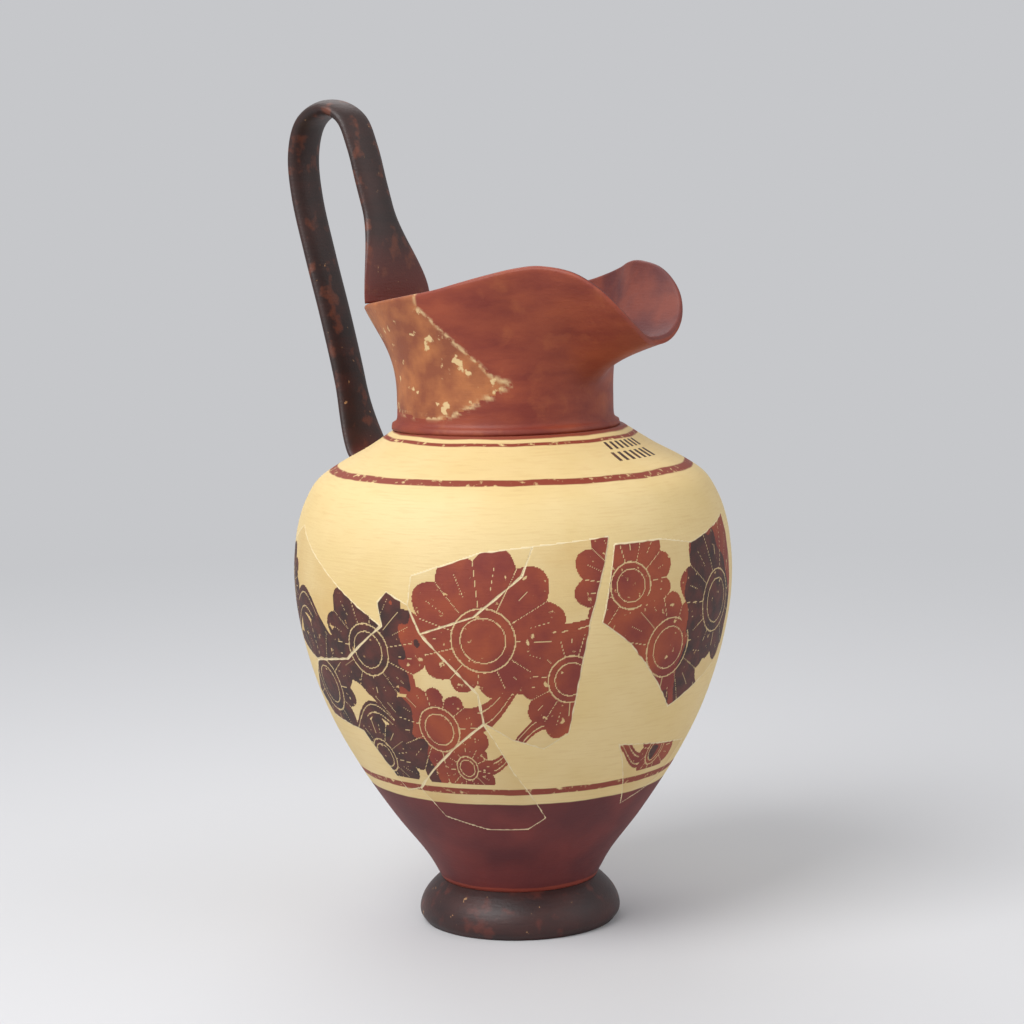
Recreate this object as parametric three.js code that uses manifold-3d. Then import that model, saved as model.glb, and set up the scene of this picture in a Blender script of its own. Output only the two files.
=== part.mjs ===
// Oinochoe: a pottery wine jug with a beaked mouth and a high strap handle,
// mended in antiquity's usual way today: ancient sherds set into a restored wall.
import * as THREE from 'three';
import Module from 'manifold-3d';

// Sizes in millimetres. +X is the way the beak pours, +Z is up, the foot rests on z = 0.
const footHeight = 17.6;
const footRadius = 40.6;          // the widest, just above the resting edge
const restRadius = 38.6;          // edge of the flat that the jug rests on
const stemRadius = 31.6;          // where foot and body meet

const bellyRadius = 87.6;
const bodyTop = 199.7;            // the seat of the neck
const wallThickness = 4.0;
const floorThickness = 6.0;

const neckRadius = 43.2;
const neckSeatRadius = 45.6;      // outer radius of the small moulding at the neck's base
const neckMoulding = 4.0;         // height of that moulding
const neckStraight = 13.0;        // height of the plain neck above the body
const neckThickness = 3.4;
const neckShift = 2.3;            // the neck sits this far towards the handle

const strapWidth = 17.6;
const strapThickness = 7.2;
const rimRootWidth = 40.0;        // the strap's spread where it grips the rim
const bodyRootWidth = 25.0;

const joint = 0.3;                // clay-to-clay gap of a glued join
const seenSide = -50;             // azimuth in degrees of the side with the figured sherds

const bodySides = 54;
const neckSides = 60;
const footSides = 54;
const strapSides = 14;
const strapSteps = 38;
const DEG = Math.PI / 180;

// Belly outline between the stem and the neck seat: share of belly radius, share of body height.
const bellyStations = [
  [0.436, 0.063], [0.575, 0.151], [0.725, 0.261], [0.846, 0.371], [0.930, 0.481], [0.983, 0.590],
  [1.000, 0.678], [0.991, 0.755], [0.969, 0.809], [0.934, 0.853], [0.881, 0.892], [0.782, 0.925],
  [0.656, 0.958],
];

// One half of the rim, from the beak's tip round to the back: along the beak, sideways, height above the body.
const rimStations = [
  [75.0, 0, 33.9], [76.2, 7.5, 35.3], [75.9, 14.5, 40.5], [72.6, 20.4, 47.7], [67.2, 24.4, 54.3],
  [58.4, 28.3, 60.3], [46.6, 32.4, 63.2], [38.0, 37.2, 62.7], [29.0, 43.6, 60.5], [18.0, 48.0, 57.7],
  [5.0, 49.9, 54.7], [-13.0, 49.6, 51.9], [-31.0, 43.6, 49.3], [-46.0, 31.5, 47.7], [-54.0, 16.5, 47.1],
  [-56.4, 0, 46.9],
];

// The strap's centre line in the handle's plane, from shoulder to rim: along the beak, height above the body's top.
const strapRoute = [
  [-71, -19.2], [-78.4, -12.2], [-83.5, 1.3], [-88.3, 20.8], [-94.6, 43.3], [-102.3, 68.3], [-108.6, 91.3],
  [-110.2, 109.3], [-105.4, 122.9], [-93.5, 128.5], [-82.2, 123.7], [-76.2, 111.8], [-71.8, 97.3],
  [-66.8, 81.3], [-62, 66.3], [-59.2, 54.8], [-57.4, 45.8],
];

// Outlines of the ancient sherds on the belly: degrees from the seen side, height.
const bodySherds = {
  sherd_left: [[-94, 150], [-73, 165], [-56, 151], [-35, 132], [-49, 117], [-67, 113], [-77, 117], [-94, 122]],
  sherd_centre_upper: [[-26, 152], [-8, 161], [5, 163], [2, 152], [-10, 137], [-24, 130], [-27, 141]],
  sherd_centre: [
    [5, 163], [25, 165], [19, 134], [17, 114], [15, 90], [8, 84], [-1, 88], [-9, 95], [-10, 107],
    [-24, 130], [-10, 137], [2, 152],
  ],
  sherd_lower_left: [
    [-36, 141], [-33, 145.5], [-27, 141], [-24, 130], [-10, 107], [-9, 95], [-36, 65], [-43, 63], [-52, 87],
    [-69, 90], [-76, 99], [-67, 113], [-49, 117], [-35, 132],
  ],
  sherd_lower_centre: [[-9, 95], [-1, 74], [11, 53], [4, 48], [-13, 48], [-30, 53], [-36, 65]],
  sherd_right: [[26, 162], [41, 162], [52, 159], [75, 166], [76, 135], [74, 110], [48, 95], [30, 124], [22, 133]],
  sherd_lower_right: [[32, 83], [69, 77], [63, 62], [44, 55]],
};

// Outline of the sherd in the neck, which takes in a length of the rim.
const neckSherd = [
  [-46, 275], [-45, 249], [-26.7, 234.8], [-17, 228.2], [-8.5, 222], [1, 219.5], [-9, 215], [-22.6, 210],
  [-35, 206.2], [-60, 206.2], [-88, 208], [-92, 275],
];

const wasm = await Module();
wasm.setup();

// Joins rings of points into one closed skin. A loop of rings closes on itself like a torus;
// otherwise each end is closed with a fan round the ring's middle.
function loft(rings, loop = false) {
  const count = rings[0].length;
  const points = rings.flat();
  const faces = [];
  const last = loop ? rings.length : rings.length - 1;
  for (let row = 0; row < last; row++) {
    const next = (row + 1) % rings.length;
    for (let i = 0; i < count; i++) {
      const j = (i + 1) % count;
      const [a, b, c, d] = [row * count + i, row * count + j, next * count + j, next * count + i];
      faces.push(a, b, c, a, c, d);
    }
  }
  if (!loop) {
    closeEnd(points, faces, 0, count, true);
    closeEnd(points, faces, (rings.length - 1) * count, count, false);
  }
  return solid(points, faces);
}

function closeEnd(points, faces, start, count, flip) {
  const middle = new THREE.Vector3();
  for (let i = 0; i < count; i++) middle.addScaledVector(points[start + i], 1 / count);
  const hub = points.push(middle) - 1;
  for (let i = 0; i < count; i++) {
    const [a, b] = [start + i, start + (i + 1) % count];
    if (flip) faces.push(hub, b, a);
    else faces.push(hub, a, b);
  }
}

function solid(points, faces) {
  const vertProperties = new Float32Array(points.flatMap((p) => [p.x, p.y, p.z]));
  const mesh = new wasm.Mesh({ numProp: 3, vertProperties, triVerts: new Uint32Array(faces) });
  mesh.merge();
  return wasm.Manifold.ofMesh(mesh);
}

const polar = (radius, azimuth, z) =>
  new THREE.Vector3(radius * Math.cos(azimuth), radius * Math.sin(azimuth), z);

function ring(radius, z, sides) {
  return Array.from({ length: sides }, (_, i) => polar(radius, (2 * Math.PI * i) / sides, z));
}

const revolve = (outline, sides) => loft(outline.map((p) => ring(p.x, p.y, sides)));

// Moves an open outline sideways, to its left for a positive distance.
function offset(outline, distance) {
  return outline.map((p, i) => {
    const before = outline[Math.max(i - 1, 0)];
    const after = outline[Math.min(i + 1, outline.length - 1)];
    const along = after.clone().sub(before).normalize();
    return new THREE.Vector2(p.x - along.y * distance, p.y + along.x * distance);
  });
}

function bodyOutline(steps) {
  const stations = bellyStations.map(
    ([radius, rise]) => new THREE.Vector2(radius * bellyRadius, footHeight + rise * (bodyTop - footHeight)),
  );
  const curve = new THREE.SplineCurve([
    new THREE.Vector2(stemRadius, footHeight), ...stations, new THREE.Vector2(neckSeatRadius, bodyTop),
  ]);
  return curve.getSpacedPoints(steps);
}

function makeBody() {
  const outer = bodyOutline(20);
  const bore = neckRadius - neckThickness;
  const floor = footHeight + floorThickness;
  const inner = offset(bodyOutline(14), wallThickness)
    .filter((p) => p.y > floor + 3 && (p.y < bodyTop / 2 || (p.x > bore + 1 && p.y < bodyTop - 2)));
  const mouth = [new THREE.Vector2(bore, bodyTop), new THREE.Vector2(bore, bodyTop - 2.2)];
  const bottom = new THREE.Vector2(inner[0].x - 3, floor);
  return revolve([...outer, ...mouth, ...inner.reverse(), bottom], bodySides);
}

// The body's outside with no hollow, grown by the glued join, for shaping what is luted on it.
function makeBodyForm() {
  return revolve(offset(bodyOutline(20), -joint), bodySides);
}

function makeFoot() {
  const edge = new THREE.SplineCurve([
    new THREE.Vector2(restRadius, 0), new THREE.Vector2(footRadius, 3.2),
    new THREE.Vector2(footRadius - 0.4, 7.2), new THREE.Vector2(footRadius - 2.4, 11.2),
    new THREE.Vector2(footRadius - 6.0, 15.2), new THREE.Vector2(stemRadius, footHeight),
  ]).getPoints(12);
  return revolve(edge, footSides);
}

// Rim points all round, mirrored from the half that is listed.
function rimPoints(count) {
  const half = rimStations.map(([x, y, rise]) => new THREE.Vector3(x, y, bodyTop + rise));
  const other = half.slice(1, -1).reverse().map((p) => new THREE.Vector3(p.x, -p.y, p.z));
  return new THREE.CatmullRomCurve3([...half, ...other], true, 'centripetal').getSpacedPoints(count).slice(0, count);
}

// One meridian of the neck's outside, from the body up to a rim point.
function meridian(rim, steps) {
  const reach = Math.hypot(rim.x, rim.y);
  const start = bodyTop + neckStraight;
  const rise = rim.z - start;
  const lip = THREE.MathUtils.smoothstep(reach, neckRadius, footRadius + neckRadius);
  const curve = new THREE.CubicBezierCurve(
    new THREE.Vector2(neckRadius, start),
    new THREE.Vector2(neckRadius, start + rise * 0.5),
    new THREE.Vector2(reach - (reach - neckRadius) * (0.35 + 0.2 * lip), rim.z - rise * (0.34 - 0.1 * lip)),
    new THREE.Vector2(reach, rim.z),
  );
  return [
    new THREE.Vector2(neckSeatRadius, bodyTop),
    new THREE.Vector2(neckSeatRadius - 0.3, bodyTop + neckMoulding * 0.55),
    new THREE.Vector2(neckRadius + 0.2, bodyTop + neckMoulding),
    ...curve.getPoints(steps),
  ];
}

// The neck and mouth wall; grown moves both faces out, for cutting what is luted on it.
function makeNeck(grown = 0) {
  const steps = 9;
  const rings = [];
  rimPoints(neckSides).forEach((rim) => {
    const azimuth = Math.atan2(rim.y, rim.x);
    const outer = meridian(rim, steps);
    const tip = outer.at(-1);
    const inner = offset(outer, neckThickness + grown);
    inner[0].set(neckRadius - neckThickness - grown, bodyTop);
    inner[1].x = neckRadius - neckThickness - grown;
    inner[2].x = neckRadius - neckThickness - grown;
    const face = grown ? offset(outer, -grown) : outer;
    face[0].y = bodyTop;
    const lip = tip.clone().lerp(inner.at(-1), 0.5);
    const along = tip.clone().sub(outer.at(-2)).normalize();
    lip.addScaledVector(along, neckThickness * 0.35 + grown);
    const section = [...face, lip, ...inner.reverse()];
    rings.push(section.map((p) => polar(p.x, azimuth, p.y).setX(p.x * Math.cos(azimuth) - neckShift)));
  });
  return loft(rings.reverse(), true);
}

// The strap: an oval section carried along its route, wider at both roots.
function makeStrap() {
  const points = strapRoute.map(([x, rise]) => new THREE.Vector3(x, 0, bodyTop + rise));
  const route = new THREE.CatmullRomCurve3(points, false, 'centripetal');
  const across = new THREE.Vector3(0, 1, 0);
  const rings = [];
  for (let step = 0; step <= strapSteps; step++) {
    const share = step / strapSteps;
    const centre = route.getPointAt(share);
    const out = across.clone().cross(route.getTangentAt(share)).normalize();
    const width = strapSpread(share);
    rings.push(Array.from({ length: strapSides }, (_, i) => {
      const turn = (2 * Math.PI * i) / strapSides;
      return centre.clone()
        .addScaledVector(out, (strapThickness / 2) * Math.cos(turn))
        .addScaledVector(across, (width / 2) * Math.sin(turn));
    }));
  }
  return loft(rings);
}

function strapSpread(share) {
  const low = 1 - THREE.MathUtils.smoothstep(share, 0, 0.14);
  const high = THREE.MathUtils.smoothstep(share, 0.84, 1);
  return strapWidth + low * (bodyRootWidth - strapWidth) + high * (rimRootWidth - strapWidth);
}

// Radius of the body's outside at a height.
function bodyReach(z) {
  const outline = bodyOutline(60);
  const next = Math.max(1, outline.findIndex((p) => p.y >= z));
  const [low, high] = [outline[next - 1], outline[next]];
  return THREE.MathUtils.mapLinear(z, low.y, high.y, low.x, high.x);
}

const neckReach = () => neckRadius + 6;

// A block that cuts a sherd's outline radially through the wall; grow widens or narrows it.
function cutter(outline, reach, grow) {
  const mean = 72 * DEG;
  const flat = outline.map(([azimuth, z]) => new THREE.Vector2((azimuth + seenSide) * mean, z));
  const contour = [];
  flat.forEach((p, i) => {
    const q = flat[(i + 1) % flat.length];
    const parts = Math.max(1, Math.round(p.distanceTo(q) / 14));
    for (let k = 0; k < parts; k++) contour.push(p.clone().lerp(q, k / parts));
  });
  if (THREE.ShapeUtils.isClockWise(contour)) contour.reverse();
  const grownContour = contour.map((p, i) => {
    const before = contour.at(i - 1);
    const after = contour[(i + 1) % contour.length];
    const n1 = new THREE.Vector2(p.y - before.y, before.x - p.x).normalize();
    const n2 = new THREE.Vector2(after.y - p.y, p.x - after.x).normalize();
    const bisector = n1.add(n2).normalize();
    return p.clone().addScaledVector(bisector, grow / Math.max(0.5, bisector.dot(n2)));
  });
  const wall = (radiusAt) => grownContour.map((p) => polar(radiusAt(p.y), (p.x / mean) * DEG, p.y));
  const walls = [() => 150, (z) => reach(z) + 3, (z) => reach(z) - 9, () => 14].map(wall);
  const count = contour.length;
  const core = 3 * count;
  const faces = [];
  THREE.ShapeUtils.triangulateShape(grownContour, []).forEach(([a, b, c]) => {
    faces.push(a, b, c, c + core, b + core, a + core);
  });
  for (let row = 0; row < core; row += count) {
    for (let k = 0; k < count; k++) {
      const [i, j] = [row + k, row + (k + 1) % count];
      const rising = contour[k].x < contour[(k + 1) % count].x;
      if (rising) faces.push(i, i + count, j + count, i, j + count, j);
      else faces.push(i, i + count, j, j, i + count, j + count);
    }
  }
  return solid(walls.flat(), faces);
}

// The main piece of a cut solid, without the crumbs that two neighbouring cuts leave between them.
function mainPiece(manifold) {
  return manifold.decompose().reduce((a, b) => (a.volume() > b.volume() ? a : b));
}

function geometry(manifold) {
  const mesh = manifold.getMesh();
  const result = new THREE.BufferGeometry();
  result.setAttribute('position', new THREE.BufferAttribute(mesh.vertProperties.slice(), 3));
  result.setIndex(new THREE.BufferAttribute(mesh.triVerts.slice(), 1));
  return result;
}

const group = new THREE.Group();
group.name = 'oinochoe';

function add(name, manifold, color, roughness) {
  const material = new THREE.MeshStandardMaterial({ color, roughness, metalness: 0, flatShading: true });
  const mesh = new THREE.Mesh(geometry(manifold), material);
  mesh.name = name;
  group.add(mesh);
}

const sherdColors = {
  sherd_left: 0xd9bd86, sherd_centre_upper: 0xa6512f, sherd_centre: 0xa2452f, sherd_lower_left: 0x6a3a2a,
  sherd_lower_centre: 0x7c3a2c, sherd_right: 0x9c4430, sherd_lower_right: 0x93503a,
};

let bodyWall = makeBody();
for (const [name, outline] of Object.entries(bodySherds)) {
  add(name, mainPiece(bodyWall.intersect(cutter(outline, bodyReach, -joint / 2))), sherdColors[name], 0.62);
}
for (const outline of Object.values(bodySherds)) bodyWall = bodyWall.subtract(cutter(outline, bodyReach, joint / 2));
add('body_wall', mainPiece(bodyWall), 0xe1c996, 0.72);

const neck = makeNeck();
add('neck_sherd', mainPiece(neck.intersect(cutter(neckSherd, neckReach, -joint / 2))), 0xa8623a, 0.72);
add('neck_and_mouth', mainPiece(neck.subtract(cutter(neckSherd, neckReach, joint / 2))), 0x9c4a30, 0.7);
add('foot', makeFoot(), 0x39231f, 0.6);
const strap = makeStrap().subtract(makeBodyForm()).subtract(makeNeck(joint));
add('handle', mainPiece(strap), 0x33211a, 0.55);

export default group;
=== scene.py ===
"""Looks of a mended pottery wine jug: painted old sherds set in a restored cream wall."""
import math

import bpy
import numpy as np
from mathutils import Matrix, Vector


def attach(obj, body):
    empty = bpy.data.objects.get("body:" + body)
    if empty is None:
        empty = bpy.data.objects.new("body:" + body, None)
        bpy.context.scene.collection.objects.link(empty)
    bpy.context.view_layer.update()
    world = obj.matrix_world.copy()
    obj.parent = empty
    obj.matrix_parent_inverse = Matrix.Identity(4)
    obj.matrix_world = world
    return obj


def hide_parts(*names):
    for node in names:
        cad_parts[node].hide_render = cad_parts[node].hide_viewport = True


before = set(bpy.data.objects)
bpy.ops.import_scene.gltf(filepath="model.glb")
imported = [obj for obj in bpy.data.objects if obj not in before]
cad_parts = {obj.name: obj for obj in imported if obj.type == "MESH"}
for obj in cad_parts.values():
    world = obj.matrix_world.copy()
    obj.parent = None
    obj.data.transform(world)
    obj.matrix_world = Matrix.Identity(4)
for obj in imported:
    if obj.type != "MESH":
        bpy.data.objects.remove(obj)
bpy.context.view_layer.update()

# Sizes are in millimetres, as in the part
MM = 0.001                      # a millimetre in the frame's metres
SEEN = math.radians(-50)        # azimuth of the side that carries the painted sherds
SKIN = 0.12                     # how far the fine skins lie inside the solids' corners
JOINT = 0.3                     # gap of a glued join
TINY = 1e-9                     # stands in for a level edge's rise

FOOT_TOP, BODY_TOP, BELLY, STEM = 17.6, 199.7, 87.6, 31.6
WALL, FLOOR = 4.0, 6.0
NECK_R, NECK_SEAT, NECK_STRAIGHT, NECK_WALL, NECK_SHIFT = 43.2, 45.6, 13.0, 3.4, 2.3
MOULDING = 4.0                  # height of the step at the neck's foot
BORE = NECK_R - NECK_WALL
BEAK_REACH = 40.6               # reach beyond the neck at which the lip is fully turned out
STRAP_WIDTH, STRAP_HALF, BODY_ROOT, RIM_ROOT = 17.6, 3.5, 25.0, 40.0
ARC = BELLY * math.radians(1)   # length on the belly of one degree

# The foot's outline from its rest to the stem: radius and height
FOOT = [(38.6, 0), (40.6, 3.2), (40.2, 7.2), (38.2, 11.2), (34.6, 15.2), (STEM, FOOT_TOP)]

# The body between stem and neck: share of the belly's radius and share of the body's height
BELLY_STATIONS = [
    (0.436, 0.063), (0.575, 0.151), (0.725, 0.261), (0.846, 0.371), (0.930, 0.481), (0.983, 0.590),
    (1.000, 0.678), (0.991, 0.755), (0.969, 0.809), (0.934, 0.853), (0.881, 0.892), (0.782, 0.925),
    (0.656, 0.958)]

# Half the rim from the beak's tip to the back: x and y from the neck's middle, and height
RIM = [
    (75.0, 0, 233.6), (76.2, 7.5, 235.0), (75.9, 14.5, 240.2), (72.6, 20.4, 247.4), (67.2, 24.4, 254.0),
    (58.4, 28.3, 260.0), (46.6, 32.4, 262.9), (38.0, 37.2, 262.4), (29.0, 43.6, 260.2), (18.0, 48.0, 257.4),
    (5.0, 49.9, 254.4), (-13.0, 49.6, 251.6), (-31.0, 43.6, 249.0), (-46.0, 31.5, 247.4),
    (-54.0, 16.5, 246.8), (-56.4, 0, 246.6)]

# The strap's middle line from the shoulder over the top to the rim: x and height
STRAP = [
    (-74, 182.5), (-78.4, 187.5), (-83.5, 201), (-88.3, 220.5), (-94.6, 243), (-102.3, 268), (-108.6, 291),
    (-110.2, 309), (-105.4, 322.6), (-93.5, 328.2), (-82.2, 323.4), (-76.2, 311.5), (-71.8, 297),
    (-66.8, 281), (-62, 266), (-59.6, 256.5), (-58.6, 248.5)]

# Outlines of the sherds: degrees round the jug from the middle of the seen side, and height
SHERDS = {
    "sherd_left": [
        (-94, 150), (-73, 165), (-56, 151), (-35, 132), (-49, 117), (-67, 113), (-77, 117), (-94, 122)],
    "sherd_centre_upper": [(-26, 152), (-8, 161), (5, 163), (2, 152), (-10, 137), (-24, 130), (-27, 141)],
    "sherd_centre": [
        (5, 163), (25, 165), (19, 134), (17, 114), (15, 90), (8, 84), (-1, 88), (-9, 95), (-10, 107),
        (-24, 130), (-10, 137), (2, 152)],
    "sherd_lower_left": [
        (-36, 141), (-33, 145.5), (-27, 141), (-24, 130), (-10, 107), (-9, 95), (-36, 65), (-43, 63),
        (-52, 87), (-69, 90), (-76, 99), (-67, 113), (-49, 117), (-35, 132)],
    "sherd_lower_centre": [(-9, 95), (-1, 74), (11, 53), (4, 48), (-13, 48), (-30, 53), (-36, 65)],
    "sherd_right": [
        (26, 162), (41, 162), (52, 159), (75, 166), (76, 135), (74, 110), (48, 95), (30, 124), (22, 133)],
    "sherd_lower_right": [(32, 83), (69, 77), (63, 62), (44, 55)]}
NECK_SHERD = [
    (-46, 275), (-45, 249), (-26.7, 234.8), (-17, 228.2), (-8.5, 222), (1, 219.5), (-9, 215), (-22.6, 210),
    (-35, 206.2), (-60, 206.2), (-88, 208), (-92, 275)]

# Palmettes: place along the belly, height, size, and the way they open in degrees
PALMETTES = [
    (-128, 140, 19, 100), (-96, 104, 31, 150), (-62, 122, 30, 60), (-34, 92, 27, 250), (-12, 128, 36, 80),
    (22, 112, 27, 320), (46, 146, 26, 120), (66, 120, 34, 250), (98, 134, 36, 60), (-70, 78, 20, 10),
    (-24, 76, 15, 300), (76, 77, 18, 20)]

# Tendrils: middle height, swing, wavelength divided by two pi, and half the stem's width
TENDRILS = [(112, 22, 23.0, 5.5), (86, 9, 14.0, 3.2)]
FRIEZE_FOOT = 69                # the ornament's lower edge
DARK_START, DARK_FADE = 30, 55  # how far left the slip starts to darken, and over what length
CLOUD_U, CLOUD_V, CLOUD_R = 98, 118, 34         # a round dark patch: place, height, radius

# Painted rings on the wall from height to height, and the heights over which plain zones set in
RINGS = [(64.2, 66.8), (183.6, 185.6), (196.4, 197.5)]
LOWER_ZONE, STEM_LINE, NECK_LINE = (60.0, 59.6), (19.6, 19.2), (198.6, 199.0)
DASH_ROWS = [(189.6, 192.4), (193.4, 195.9)]
RED_ROOT_X, RED_ROOT_Z = (-78, -70), (276, 250)     # where the strap turns red, from none to full

# Lamps: name, azimuth and elevation in degrees, distance and width in metres, and watts
LAMPS = [("key", -95, 46, 1.6, 1.0, 24), ("fill", 20, 30, 1.8, 1.6, 7), ("back", 140, 50, 1.8, 1.2, 10)]
LAMP_AIM = 0.15                 # height in metres that the lamps point at
BACKDROP = "#c6c7ca"

# The camera: frame and lens in pixels, a pixel's span at the jug, angles in degrees and aim in metres
FRAME_PX, FOCAL_PX, PIXEL_MM = 1024, 2600, 0.4
LOOK_DOWN, ROLL, AIM_HEIGHT = 7.1, -1.2, 0.1651


# Curves and outlines
def ease(value, low, high):
    """0 below low, 1 above high and smooth between."""
    t = np.clip((value - low) / (high - low), 0, 1)
    return t * t * (3 - 2 * t)


def full_turn(steps):
    """Angles at even steps round a circle."""
    return np.linspace(0, 2 * np.pi, steps, endpoint=False)


def spline(points, count, closed=False):
    """Evenly spaced points on a smooth curve through the given ones."""
    steps = 40
    p = np.array(points, float)
    if closed:
        ends = np.vstack([p[-1], p, p[0], p[1]])
    else:
        ends = np.vstack([2 * p[0] - p[1], p, 2 * p[-1] - p[-2]])
    t = np.linspace(0, 1, steps, endpoint=False)[:, None]
    rows = []
    for i in range(len(ends) - 3):
        a, b, c, d = ends[i:i + 4]
        cubic = (3 * b - a - 3 * c + d) * t**3
        rows.append(0.5 * (2 * b + (c - a) * t + (2 * a - 5 * b + 4 * c - d) * t**2 + cubic))
    fine = np.vstack(rows + [p[:1] if closed else p[-1:]])
    run = np.r_[0, np.cumsum(np.linalg.norm(np.diff(fine, axis=0), axis=1))]
    at = np.linspace(0, run[-1], count, endpoint=not closed)
    return np.stack([np.interp(at, run, fine[:, k]) for k in range(fine.shape[1])], 1)


def directions(line):
    """The way a line runs at each of its points."""
    along = np.gradient(line, axis=0)
    return along / np.linalg.norm(along, axis=1)[:, None]


def offset(line, distance):
    """An outline moved inwards by a distance."""
    along = directions(line)
    return np.stack([line[:, 0] - along[:, 1] * distance, line[:, 1] + along[:, 0] * distance], 1)


def body_profile(count):
    """The body's outline from the stem to the neck's seat: radius and height."""
    stations = [(r * BELLY, FOOT_TOP + h * (BODY_TOP - FOOT_TOP)) for r, h in BELLY_STATIONS]
    return spline([(STEM, FOOT_TOP)] + stations + [(NECK_SEAT, BODY_TOP)], count) - (SKIN, 0)


PROFILE = body_profile(400)


def radius_at(z):
    """The body's radius at a height."""
    return np.interp(z, PROFILE[:, 1], PROFILE[:, 0])


def along_belly(x, y):
    """Length round the belly from the middle of the seen side."""
    return ((np.degrees(np.arctan2(y, x)) - math.degrees(SEEN) + 180) % 360 - 180) * ARC


def flat_outline(outline):
    """A sherd's outline unrolled: length round the belly and height."""
    return [(degrees * ARC, z) for degrees, z in outline]


def inside(u, v, outline):
    """Whether points lie within a closed outline."""
    hit = np.zeros(u.shape, bool)
    for (x1, y1), (x2, y2) in zip(outline, outline[1:] + outline[:1]):
        crossed = (y1 > v) != (y2 > v)
        hit ^= crossed & (u < (x2 - x1) * (v - y1) / ((y2 - y1) or TINY) + x1)
    return hit


def edge_distance(u, v, outline):
    """How far points lie from the nearest edge of an outline."""
    best = np.full(u.shape, np.inf)
    for (x1, y1), (x2, y2) in zip(outline, outline[1:] + outline[:1]):
        dx, dy = x2 - x1, y2 - y1
        t = np.clip(((u - x1) * dx + (v - y1) * dy) / (dx * dx + dy * dy), 0, 1)
        best = np.minimum(best, np.hypot(u - x1 - t * dx, v - y1 - t * dy))
    return best


def wobble(u, v, length, seed):
    """Smooth repeatable noise from sine waves of about this length, about -1 to 1."""
    waves, shortest, loudest = 6, 0.6, 3.2
    rng = np.random.default_rng(seed)
    total = 0
    for _ in range(waves):
        angle, phase, stretch = rng.uniform(0, 2 * np.pi, 3)
        pitch = 2 * np.pi / (length * (shortest + stretch / waves))
        total = total + np.sin(pitch * (u * np.cos(angle) + v * np.sin(angle)) + phase)
    return total / loudest


# Meshes
def make_object(name, verts, faces, material, nodes, smooth=True):
    """A piece from points in millimetres, riding on the jug in place of the named nodes."""
    mesh = bpy.data.meshes.new(name)
    mesh.from_pydata((np.asarray(verts, float) * MM).tolist(), [], [list(map(int, f)) for f in faces])
    mesh.validate()
    if smooth:
        mesh.shade_smooth()
    mesh.materials.append(material)
    piece = bpy.data.objects.new(name, mesh)
    bpy.context.scene.collection.objects.link(piece)
    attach(piece, "root")
    if nodes:
        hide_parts(*nodes)
    return piece


def grid_faces(rows, cols, wrap_rows=False, wrap_cols=True):
    """Quads between neighbouring points of a grid, joined round where it wraps."""
    r = np.arange(rows if wrap_rows else rows - 1)[:, None]
    c = np.arange(cols if wrap_cols else cols - 1)[None, :]
    r2, c2 = (r + 1) % rows, (c + 1) % cols
    quads = np.stack([r * cols + c, r * cols + c2, r2 * cols + c2, r2 * cols + c], -1)
    return quads.reshape(-1, 4)


def turned(profile, sides):
    """Points of an outline turned round the jug's axis, one ring after another."""
    turn = full_turn(sides)
    r, z = profile[:, :1], profile[:, 1:]
    return np.stack([r * np.cos(turn), r * np.sin(turn), z + 0 * turn], -1).reshape(-1, 3)


def fan(start, sides, hub, up=True):
    """Triangles that close a ring of points round a hub, facing up or down."""
    pairs = [(start + i, start + (i + 1) % sides) for i in range(sides)]
    return [(hub, a, b) if up else (hub, b, a) for a, b in pairs]


def paint(piece, channels):
    """Stores up to four values from 0 to 1 on each point, for the piece's material."""
    colour = piece.data.color_attributes.new("paint", "FLOAT_COLOR", "POINT")
    values = np.ones((len(piece.data.vertices), 4), np.float32)
    for k, channel in enumerate(channels):
        values[:, k] = channel
    colour.data.foreach_set("color", values.ravel())


# Painted ornament, drawn on the unrolled belly
def palmette(u, v, centre_u, centre_v, size, aim):
    """A fan of rounded leaves round a heart, with its cut midribs and rings."""
    leaves, heart, inner_ring, shrink, scallop = 11, 0.34, 0.24, 0.42, 0.16
    parting_half, midrib_half, heart_half, ring_half = 0.7, 0.5, 0.28, 0.22
    du, dv = u - centre_u, v - centre_v
    r = np.hypot(du, dv)
    turn = (np.arctan2(dv, du) - math.radians(aim) + np.pi) % (2 * np.pi) - np.pi
    across = np.abs(np.cos(leaves * turn / 2))
    reach = size * (1 - shrink * np.abs(turn / np.pi) ** 1.4) * (1 - scallop + scallop * across)
    leaf = r < reach
    beside = np.abs(np.sin(leaves * turn / 2))
    parting = (across * r < parting_half) & (r > heart * size)
    midrib = (beside * r < midrib_half) & (r > 0.5 * size) & (r < 0.8 * reach)
    rings = (np.abs(r - heart * size) < heart_half) | (np.abs(r - inner_ring * size) < ring_half)
    return leaf, (parting | midrib | rings) & leaf


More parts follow.
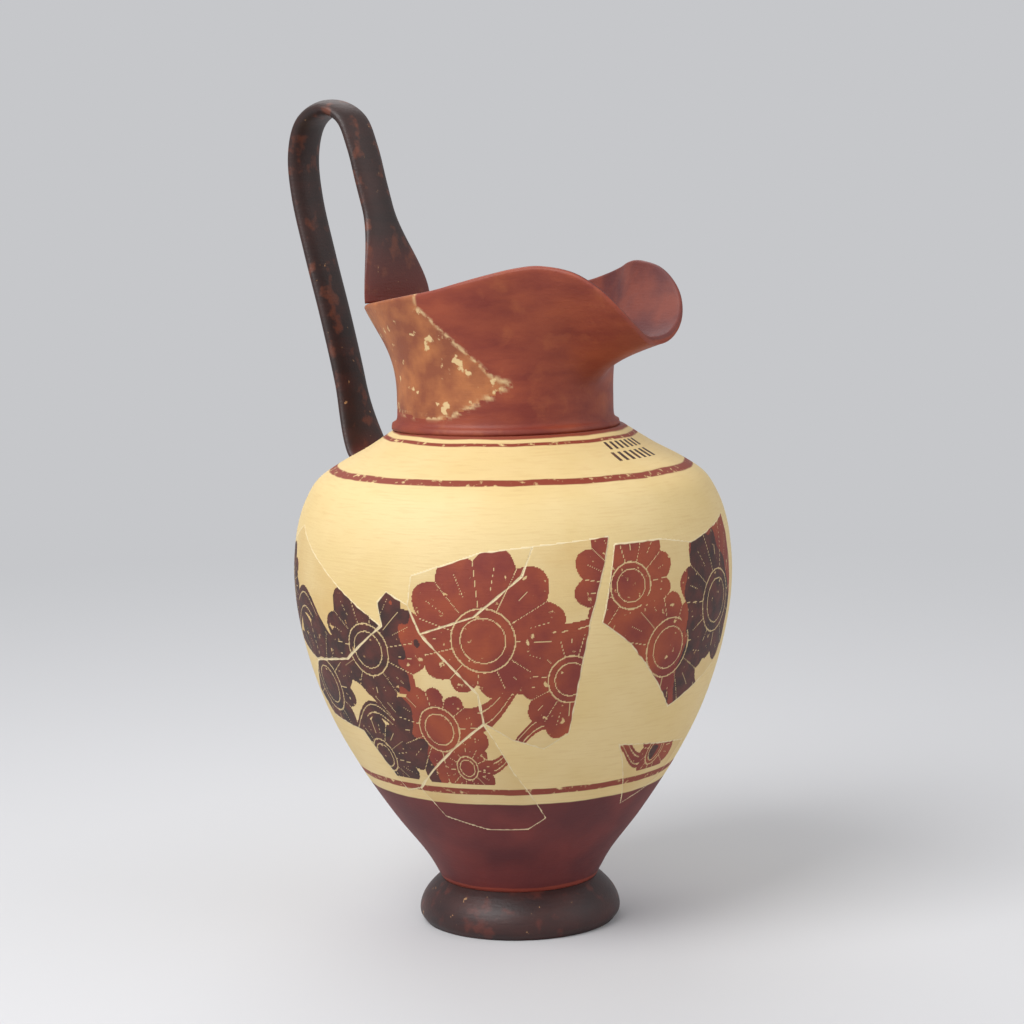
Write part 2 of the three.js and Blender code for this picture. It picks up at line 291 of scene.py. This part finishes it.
def frieze(u, v):
    """Slip, dark slip and incised lines at points along and up the belly."""
    ripple, ripple_length, half_cut = 3, 6.0, 0.24
    slip = np.zeros(u.shape, bool)
    cut = np.zeros(u.shape, bool)
    for middle, swing, length, half_width in TENDRILS:
        wave = v - (middle + swing * np.sin(u / length) + ripple * np.sin(u / ripple_length))
        slip |= np.abs(wave) < half_width
        cut |= np.abs(np.abs(wave) - 0.5 * half_width) < half_cut
    for item in PALMETTES:
        leaf, lines = palmette(u, v, *item)
        cut = (cut & ~leaf) | lines
        slip |= leaf
    slip &= v > FRIEZE_FOOT

    # The slip fired dark towards the left, and in one round cloud at the right
    shade = wobble(u, v, length=50, seed=3) + 0.3 * wobble(u, v, length=8, seed=4)
    towards_left = (-u - DARK_START) / DARK_FADE
    in_cloud = 1.1 - np.hypot(u - CLOUD_U, v - CLOUD_V) / CLOUD_R
    dark = slip & (0.6 * shade + np.maximum(towards_left, in_cloud) > 0.25)
    return slip, dark, cut & slip


# Materials
def linear(code):
    """A #rrggbb colour as linear light."""
    parts = [int(code[i:i + 2], 16) / 255 for i in (1, 3, 5)]
    return [c / 12.92 if c < 0.04045 else ((c + 0.055) / 1.055) ** 2.4 for c in parts] + [1]


def add(tree, kind, inputs, **settings):
    """Adds a node with its settings and its inputs, each a number, a colour code or an output."""
    node = tree.nodes.new("ShaderNode" + kind)
    for name, value in settings.items():
        setattr(node, name, value)
    for key, value in inputs.items():
        if isinstance(value, bpy.types.NodeSocket):
            tree.links.new(value, node.inputs[key])
        else:
            node.inputs[key].default_value = linear(value) if isinstance(value, str) else value
    return node.outputs


def new_material(name, roughness):
    """A material and its node tree, one roughness all over."""
    material = bpy.data.materials.new(name)
    material.use_nodes = True
    tree = material.node_tree
    tree.nodes["Principled BSDF"].inputs["Roughness"].default_value = roughness
    return material, tree


def cloud(tree, size_mm, detail, stretch=(1, 1, 1)):
    """A cloudy pattern with lumps of about this size, flattened where it is stretched."""
    place = add(tree, "TexCoord", {})["Object"]
    at = add(tree, "Mapping", {"Vector": place, "Scale": stretch})[0]
    return add(tree, "TexNoise", {"Vector": at, "Scale": 1 / MM / size_mm, "Detail": detail})[0]


def lay(tree, under, over, pattern, low, high, share=1.0):
    """Lays a colour over another where a pattern passes low, at its full share from high."""
    mask = add(tree, "MapRange", {"Value": pattern, "From Min": low, "From Max": high})[0]
    amount = add(tree, "Math", {0: mask, 1: share}, operation="MULTIPLY")[0]
    return add(tree, "Mix", {0: amount, 6: under, 7: over}, data_type="RGBA")[2]


def surface(tree, colour, height, depth_mm):
    """Joins a colour and a relief of this depth to the shader."""
    shader = tree.nodes["Principled BSDF"]
    relief = add(tree, "Bump", {"Height": height, "Distance": depth_mm * MM, "Strength": 0.8})[0]
    tree.links.new(colour, shader.inputs["Base Color"])
    tree.links.new(relief, shader.inputs["Normal"])


def jug_height(tree):
    """Height on the jug in millimetres, a little unsteady as a brushed line is."""
    unsteady = 0.9
    place = add(tree, "TexCoord", {})["Object"]
    z = add(tree, "SeparateXYZ", {0: place})[2]
    z = add(tree, "Math", {0: z, 1: 1 / MM}, operation="MULTIPLY")[0]
    drift = add(tree, "Math", {0: cloud(tree, 14, 2), 1: 0.5}, operation="SUBTRACT")[0]
    drift = add(tree, "Math", {0: drift, 1: unsteady}, operation="MULTIPLY")[0]
    return add(tree, "Math", {0: z, 1: drift}, operation="ADD")[0]


def cream_ground(tree, ground, aged):
    """Cream slip with the wheel's faint lines, worn red rings and dark red lower zone, and its relief."""
    soft = 0.15
    z = jug_height(tree)
    brushed = cloud(tree, 9, 4, (1, 1, 14))
    colour = lay(tree, ground, aged, cloud(tree, 34, 3), 0.35, 0.7)
    colour = lay(tree, colour, "#cfa870", brushed, 0.5, 0.72, 0.25)
    worn = add(tree, "MapRange", {"Value": cloud(tree, 2.6, 5), "From Min": 0.30, "From Max": 0.42})[0]
    for low, high in RINGS:
        below = add(tree, "MapRange", {"Value": z, "From Min": high + soft, "From Max": high - soft})[0]
        share = add(tree, "Math", {0: below, 1: worn}, operation="MULTIPLY")[0]
        colour = lay(tree, colour, "#8a3a26", z, low - soft, low + soft, share)
    zone = lay(tree, "#5a2022", "#742c28", cloud(tree, 22, 4), 0.35, 0.68)
    colour = lay(tree, colour, zone, z, *LOWER_ZONE)
    colour = lay(tree, colour, "#9a4230", z, *STEM_LINE, 0.8)
    colour = lay(tree, colour, "#8a3f2a", z, *NECK_LINE)
    height = add(tree, "Math", {0: cloud(tree, 1.4, 5), 1: brushed}, operation="ADD")[0]
    return colour, height


def restored_wall():
    """Tinted plaster: matt and even, so that the old sherds stand out from it."""
    material, tree = new_material("cream_slip_restored", roughness=0.62)
    colour, height = cream_ground(tree, "#e6cc94", "#dfc386")
    surface(tree, colour, height, depth_mm=0.10)
    return material


def sherd_clay():
    """Old cream ground, yellower, under red-brown and black-brown slip with cut lines and flaked spots."""
    cut_depth = 1.5
    material, tree = new_material("painted_ancient_sherd", roughness=0.62)
    ground, height = cream_ground(tree, "#dfc690", "#d2b173")
    stored = add(tree, "Attribute", {}, attribute_name="paint")
    slip, dark, cut = add(tree, "SeparateColor", {0: stored["Color"]})
    seam = stored["Alpha"]
    red = lay(tree, "#7d2f25", "#9c4728", cloud(tree, 16, 5), 0.36, 0.66)
    black = lay(tree, "#35211e", "#5b2c24", cloud(tree, 7, 5), 0.35, 0.65)
    flaking = {"Value": cloud(tree, 3.2, 6), "From Min": 0.66, "From Max": 0.70, "To Min": 1, "To Max": 0.1}
    kept = add(tree, "MapRange", flaking)[0]
    colour = lay(tree, ground, red, slip, 0.4, 0.6, kept)
    colour = lay(tree, colour, black, dark, 0.3, 0.7, kept)
    colour = lay(tree, colour, "#d9bd88", cut, 0.35, 0.65, 0.85)
    colour = lay(tree, colour, "#e6d3a8", seam, 0.6, 0.3)
    groove = add(tree, "Math", {0: cut, 1: cut_depth}, operation="MULTIPLY")[0]
    height = add(tree, "Math", {0: height, 1: groove}, operation="SUBTRACT")[0]
    surface(tree, colour, height, depth_mm=0.12)
    return material


def pitted_relief(tree):
    """Fine pits over the shallow lines that the wheel leaves."""
    pits, lines = cloud(tree, 1.2, 5), cloud(tree, 8, 4, (1, 1, 9))
    return add(tree, "Math", {0: pits, 1: lines}, operation="ADD")[0]


def worn_slip(name, deep, light, worn, amount, red_root=False):
    """Dark slip rubbed thin in orange patches, with fine pits, and for the strap a red root in the rim."""
    material, tree = new_material(name, roughness=0.5)
    colour = lay(tree, deep, light, cloud(tree, 20, 5, (1, 1, 2.5)), 0.34, 0.68)
    if red_root:
        place = add(tree, "TexCoord", {})["Object"]
        x, _, z = add(tree, "SeparateXYZ", {0: place})
        far, near = RED_ROOT_X
        reddened = {"Value": x, "From Min": far * MM, "From Max": near * MM, "To Max": 0.85}
        share = add(tree, "MapRange", reddened)[0]
        top, foot = RED_ROOT_Z
        colour = lay(tree, colour, "#7a2f22", z, top * MM, foot * MM, share)
    colour = lay(tree, colour, worn, cloud(tree, 7, 7), 0.56, 0.68, amount)
    colour = lay(tree, colour, "#d2a06c", cloud(tree, 3.0, 6), 0.70, 0.73, 0.55)
    surface(tree, colour, pitted_relief(tree), depth_mm=0.12)
    return material


def neck_slip():
    """Brick-red slip outside, darker inside as painted shade in the mouth's hollow, and the old
    orange-brown sherd with flaked cream.
    """
    material, tree = new_material("red_slip_neck", roughness=0.56)
    stored = add(tree, "Attribute", {}, attribute_name="paint")
    sherd, inner, seam = add(tree, "SeparateColor", {0: stored["Color"]})
    colour = lay(tree, "#7c2e20", "#97452a", cloud(tree, 20, 5, (1, 1, 2.5)), 0.34, 0.68)
    colour = lay(tree, colour, "#ac5c34", cloud(tree, 9, 7), 0.56, 0.70, 0.35)
    # Painted shade: the inner face of the neck and mouth is coloured darker, standing in for the shade in
    # its hollow
    painted_inside_shade = lay(tree, "#5f2926", "#7c3a2c", cloud(tree, 16, 5), 0.4, 0.65)
    colour = lay(tree, colour, painted_inside_shade, inner, 0, 1)
    old = lay(tree, "#8a4a2e", "#b06c3e", cloud(tree, 11, 6), 0.38, 0.64)
    old = lay(tree, old, "#dcc08c", cloud(tree, 5, 7), 0.62, 0.66, 0.9)
    outside = add(tree, "Math", {0: 1, 1: inner}, operation="SUBTRACT")[0]
    colour = lay(tree, colour, old, sherd, 0.4, 0.6, outside)
    chipped = add(tree, "Math", {0: seam, 1: 0.9}, operation="MULTIPLY")[0]
    colour = lay(tree, colour, "#d8bb8a", cloud(tree, 4, 5), 0.45, 0.55, chipped)
    surface(tree, colour, pitted_relief(tree), depth_mm=0.12)
    return material


# Pieces of the jug
def make_wall(material):
    """The restored wall: a turned skin with windows for the sherds, and its hollow."""
    sides, inner_sides = 420, 105
    lap = 1.6                   # the skin runs on this far behind a sherd's edge
    mid_height = 100            # a height on the belly, well clear of floor and neck
    floor_top = FOOT_TOP + FLOOR
    outer = body_profile(230)
    verts = turned(outer, sides)
    faces = grid_faces(len(outer), sides)
    centre = verts[faces].mean(1)
    u = along_belly(centre[:, 0], centre[:, 1])
    keep = np.ones(len(faces), bool)
    for outline in SHERDS.values():
        flat = flat_outline(outline)
        keep &= ~(inside(u, centre[:, 2], flat) & (edge_distance(u, centre[:, 2], flat) > lap))

    # The hollow runs down from the neck's bore to a floor with a small fillet
    ledge, fillet, clearance = 2.2, 3, 1
    inner = offset(body_profile(60), WALL)
    r, z = inner[:, 0], inner[:, 1]
    below_neck = (r > BORE + clearance) & (z < BODY_TOP - 2 * clearance)
    inner = inner[(z > floor_top + fillet) & ((z < mid_height) | below_neck)]
    throat = [outer[-1], (BORE, BODY_TOP), (BORE, BODY_TOP - ledge)]
    hollow = np.vstack([throat, inner[::-1], [(inner[0, 0] - fillet, floor_top)]])
    base = len(verts)
    floor_hub = base + len(hollow) * inner_sides
    foot_hub = floor_hub + 1
    verts = np.vstack([verts, turned(hollow, inner_sides), [[0, 0, floor_top], [0, 0, FOOT_TOP]]])
    faces = faces[keep].tolist() + (grid_faces(len(hollow), inner_sides) + base).tolist()
    faces += fan(floor_hub - inner_sides, inner_sides, floor_hub)
    faces += fan(0, sides, foot_hub, up=False)
    make_object("restored_body_wall", verts, faces, material, ["body_wall"])


def sherd_mesh(outline):
    """A fine grid over an outline, bent to the wall and closed at its edges and back."""
    spacing = 0.42              # between the painted points
    proud = 0.03                # how far the sherd stands out from the wall's skin
    depth = WALL - JOINT
    flat = flat_outline(outline)
    us, vs = zip(*flat)
    u = np.arange(min(us) - spacing, max(us) + 2 * spacing, spacing)
    v = np.arange(min(vs) - spacing, max(vs) + 2 * spacing, spacing)
    all_u, all_v = np.meshgrid(u, v)
    cells = inside((all_u[:-1, :-1] + all_u[1:, 1:]) / 2, (all_v[:-1, :-1] + all_v[1:, 1:]) / 2, flat)
    quads = grid_faces(len(v), len(u), wrap_cols=False)[cells.ravel()]
    used, quads = np.unique(quads, return_inverse=True)
    quads = quads.reshape(-1, 4)
    u, v = all_u.ravel()[used], all_v.ravel()[used]
    edges = np.concatenate([quads[:, [k, (k + 1) % 4]] for k in range(4)])
    keys = {tuple(e) for e in edges.tolist()}
    border = [e for e in keys if (e[1], e[0]) not in keys]
    count = len(u)
    turn = u / ARC * math.pi / 180 + SEEN
    verts = []
    for sink in (0, depth):
        r = radius_at(v) + proud - sink
        verts.append(np.stack([r * np.cos(turn), r * np.sin(turn), v], 1))
    faces = quads.tolist() + (quads[:, ::-1] + count).tolist()
    faces += [(b, a, a + count, b + count) for a, b in border]
    return np.vstack(verts), faces, np.r_[u, u], np.r_[v, v]


def make_sherds(material):
    """The painted sherds, each with a ragged pale line of glue along its edge."""
    ragged, seam_width = 0.18, 0.9
    for name, outline in SHERDS.items():
        verts, faces, u, v = sherd_mesh(outline)
        piece = make_object(name + "_painted", verts, faces, material, [name])
        slip, dark, cut = frieze(u, v)
        seam = edge_distance(u, v, flat_outline(outline)) + ragged * wobble(u, v, length=6, seed=9)
        paint(piece, (slip, dark, cut, np.clip(seam / seam_width, 0, 1)))


def rim_points(count):
    """Points round the whole rim, its second half mirrored from the first."""
    other = [(x, -y, z) for x, y, z in RIM[1:-1]][::-1]
    return spline(RIM + other, count, closed=True)


def meridian(rim, foot_steps, steps):
    """The neck's outline up to one point of the rim: reach from the neck's middle and height."""
    bulge, tread, flare = 0.3, 2.2, 0.2
    reach = math.hypot(rim[0], rim[1])
    start = BODY_TOP + NECK_STRAIGHT
    rise = rim[2] - start
    turned_out = ease(reach, NECK_R, NECK_R + BEAK_REACH)

    # A cubic curve that leaves the neck upright and comes to the rim flatter where the lip turns out
    pull = (reach - NECK_R) * (0.35 + 0.2 * turned_out)
    drop = rise * (0.34 - 0.1 * turned_out)
    a, b = np.array((NECK_R, start)), np.array((NECK_R, start + rise * 0.5))
    c, d = np.array((reach - pull, rim[2] - drop)), np.array((reach, rim[2]))
    s = np.linspace(0, 1, steps)[:, None]
    curve = (1 - s)**3 * a + 3 * s * (1 - s)**2 * b + 3 * s**2 * (1 - s) * c + s**3 * d
    step_edge = (NECK_SEAT - bulge, BODY_TOP + tread)
    step_root = (NECK_R + flare, BODY_TOP + MOULDING)
    foot = spline([(NECK_SEAT, BODY_TOP), step_edge, step_root, (NECK_R, start)], foot_steps + 1)
    return np.vstack([foot[:-1], curve])


def make_neck(material):
    """The neck and beaked mouth, one thrown and pinched wall with a rounded lip."""
    columns, foot_steps, steps, lip_steps = 300, 13, 44, 6
    lip_bulge, lip_inset, seam_reach = 1.1, 0.1, 1.2
    outer_count = foot_steps + steps
    verts = []
    for rim in rim_points(columns):
        outer = meridian(rim, foot_steps, steps) - (SKIN, 0)
        outer[-1] -= (lip_inset, lip_inset)
        inner = offset(outer, NECK_WALL)
        inner[:foot_steps] = np.stack([np.full(foot_steps, BORE), outer[:foot_steps, 1]], 1)
        along = outer[-1] - outer[-2]
        along /= np.linalg.norm(along)
        middle = (outer[-1] + inner[-1]) / 2
        half = (outer[-1] - inner[-1]) / 2
        angles = np.linspace(0, math.pi, lip_steps + 2)[1:-1]
        lip = [middle + half * math.cos(a) + along * lip_bulge * math.sin(a) for a in angles]
        section = np.vstack([outer, lip, inner[::-1]])
        turn = math.atan2(rim[1], rim[0])
        x = section[:, 0] * math.cos(turn) - NECK_SHIFT
        verts.append(np.stack([x, section[:, 0] * math.sin(turn), section[:, 1]], 1))
    count = 2 * outer_count + lip_steps
    verts = np.vstack(verts)
    faces = grid_faces(columns, count, wrap_rows=True)[:, ::-1]
    piece = make_object("neck_and_beaked_mouth", verts, faces, material, ["neck_and_mouth", "neck_sherd"])
    u = along_belly(verts[:, 0], verts[:, 1])
    flat = flat_outline(NECK_SHERD)
    seam = edge_distance(u, verts[:, 2], flat)
    inner_face = np.tile(np.arange(count) >= outer_count + lip_steps // 2, columns)
    near_seam = np.clip(seam_reach - seam, 0, 1) * (1 - inner_face)
    # The second channel marks the inner face, which the material colours darker as painted shade
    paint(piece, (inside(u, verts[:, 2], flat), inner_face, near_seam))


def make_handle(material):
    """The strap handle: an oval section that spreads at both roots and thins inside the rim."""
    section_steps, thinning, inset = 48, 1.7, 0.1
    body_flare, rim_flare, rim_thin = 0.14, 0.84, 0.88      # shares of the strap's length
    route = spline(STRAP, 260)
    along = directions(route)
    share = np.linspace(0, 1, len(route))
    at_body = 1 - ease(share, 0, body_flare)
    at_rim = ease(share, rim_flare, 1)
    width = STRAP_WIDTH + at_body * (BODY_ROOT - STRAP_WIDTH) + at_rim * (RIM_ROOT - STRAP_WIDTH)
    half = (STRAP_HALF - thinning * ease(share, rim_thin, 1))[:, None]
    turn = full_turn(section_steps)
    x = route[:, :1] - along[:, 1:] * half * np.cos(turn)
    z = route[:, 1:] + along[:, :1] * half * np.cos(turn)
    y = (width / 2 - inset)[:, None] * np.sin(turn)
    verts = np.stack([x, y, z], -1).reshape(-1, 3)
    faces = grid_faces(len(route), section_steps).tolist()
    last = (len(route) - 1) * section_steps
    faces += [list(range(section_steps))[::-1], [last + i for i in range(section_steps)]]
    make_object("strap_handle", verts, faces, material, ["handle"])


def make_dashes(material):
    """Two rows of short slip strokes at the neck's foot, each a thin dab on the shoulder."""
    strokes, first, spacing, stagger = 7, 43, 3.6, 1.8
    half = math.radians(0.75)
    sunk, raised, slant = -0.2, 0.10, 0.6
    verts, faces = [], []
    for row, (low, high) in enumerate(DASH_ROWS):
        for stroke in range(strokes):
            turn = SEEN + math.radians(first + spacing * stroke + stagger * row)
            b = len(verts)
            for z in (low, high):
                for side in (-half, half):
                    for lift in (sunk, raised):
                        r = radius_at(z) + lift
                        at = turn + side
                        verts.append((r * math.cos(at), r * math.sin(at), z + slant * lift))
            faces += [(b + 1, b + 3, b + 7, b + 5), (b, b + 4, b + 6, b + 2), (b, b + 2, b + 3, b + 1),
                      (b + 4, b + 5, b + 7, b + 6), (b, b + 1, b + 5, b + 4), (b + 2, b + 6, b + 7, b + 3)]
    make_object("shoulder_dashes", verts, faces, material, [], smooth=False)


def make_foot(material):
    """The low foot, a solid turned disc with a rounded edge."""
    sides = 240
    edge = spline(FOOT, 60) - (SKIN, 0)
    under = len(edge) * sides
    top = under + 1
    verts = np.vstack([turned(edge, sides), [[0, 0, edge[0, 1]], [0, 0, edge[-1, 1]]]])
    faces = grid_faces(len(edge), sides).tolist()
    faces += fan(0, sides, under, up=False) + fan(under - sides, sides, top)
    make_object("low_foot", verts, faces, material, ["foot"])


# Floor, light and camera
def make_stage():
    """A pale floor that fades into the backdrop away from the jug."""
    half, fade_start, fade_end = 6, 0.25, 1.1
    floor = bpy.data.meshes.new("floor")
    corners = [(-half, -half, 0), (half, -half, 0), (half, half, 0), (-half, half, 0)]
    floor.from_pydata(corners, [], [(0, 1, 2, 3)])
    piece = bpy.data.objects.new("floor", floor)
    bpy.context.scene.collection.objects.link(piece)
    material, tree = new_material("pale_matt_floor", roughness=0.9)
    shader = tree.nodes["Principled BSDF"]
    shader.inputs["Base Color"].default_value = linear("#cdcdcf")
    glow = add(tree, "Emission", {"Color": BACKDROP})[0]
    place = add(tree, "TexCoord", {})["Object"]
    far = add(tree, "VectorMath", {0: place}, operation="LENGTH")["Value"]
    faded = add(tree, "MapRange", {"Value": far, "From Min": fade_start, "From Max": fade_end})[0]
    blend = add(tree, "MixShader", {0: faded, 1: shader.outputs[0], 2: glow})[0]
    tree.links.new(blend, tree.nodes["Material Output"].inputs[0])
    floor.materials.append(material)


def make_world():
    """Soft even light; the camera sees the plain grey backdrop."""
    strength = 0.55
    world = bpy.data.worlds.new("studio")
    world.use_nodes = True
    tree = world.node_tree
    light = tree.nodes["Background"]
    light.inputs["Color"].default_value = linear("#e6e7ea")
    light.inputs["Strength"].default_value = strength
    seen = add(tree, "Background", {"Color": BACKDROP})[0]
    by_camera = add(tree, "LightPath", {})["Is Camera Ray"]
    both = add(tree, "MixShader", {0: by_camera, 1: light.outputs[0], 2: seen})[0]
    tree.links.new(both, tree.nodes["World Output"].inputs[0])
    bpy.context.scene.world = world


def towards(azimuth, elevation):
    """The direction from the jug at these angles in radians."""
    level = math.cos(elevation)
    return Vector((level * math.cos(azimuth), level * math.sin(azimuth), math.sin(elevation)))


def add_lamp(name, azimuth, elevation, distance, width, watts):
    """A square lamp that points at the jug's middle."""
    data = bpy.data.lights.new(name, "AREA")
    data.size, data.energy = width, watts
    lamp = bpy.data.objects.new(name, data)
    aim = Vector((0, 0, LAMP_AIM))
    lamp.location = aim + distance * towards(math.radians(azimuth), math.radians(elevation))
    lamp.rotation_euler = (aim - lamp.location).to_track_quat("-Z", "Y").to_euler()
    bpy.context.scene.collection.objects.link(lamp)


def make_camera():
    """The photograph's view of the seen side, a little from above."""
    sensor = 36
    data = bpy.data.cameras.new("camera")
    data.sensor_width, data.lens = sensor, sensor * FOCAL_PX / FRAME_PX
    camera = bpy.data.objects.new("camera", data)
    bpy.context.scene.collection.objects.link(camera)
    aim = Vector((0, 0, AIM_HEIGHT))
    camera.location = aim + FOCAL_PX * PIXEL_MM * MM * towards(SEEN, math.radians(LOOK_DOWN))
    look = (aim - camera.location).to_track_quat("-Z", "Y").to_matrix()
    camera.rotation_euler = (look @ Matrix.Rotation(math.radians(ROLL), 3, "Z")).to_euler()
    bpy.context.scene.camera = camera


make_camera()
make_stage()
make_world()
for lamp in LAMPS:
    add_lamp(*lamp)

make_wall(restored_wall())
make_sherds(sherd_clay())
make_neck(neck_slip())
make_handle(worn_slip("black_brown_slip_handle", "#2b1c19", "#3c221d", "#7a4029", 0.6, red_root=True))
make_dashes(worn_slip("black_brown_slip_strokes", "#3a211c", "#4a2a20", "#7a4a30", 0.3))
make_foot(worn_slip("black_brown_slip_foot", "#2c1b1b", "#41211d", "#6e3226", 0.45))

bpy.context.scene.view_settings.view_transform = "Standard"
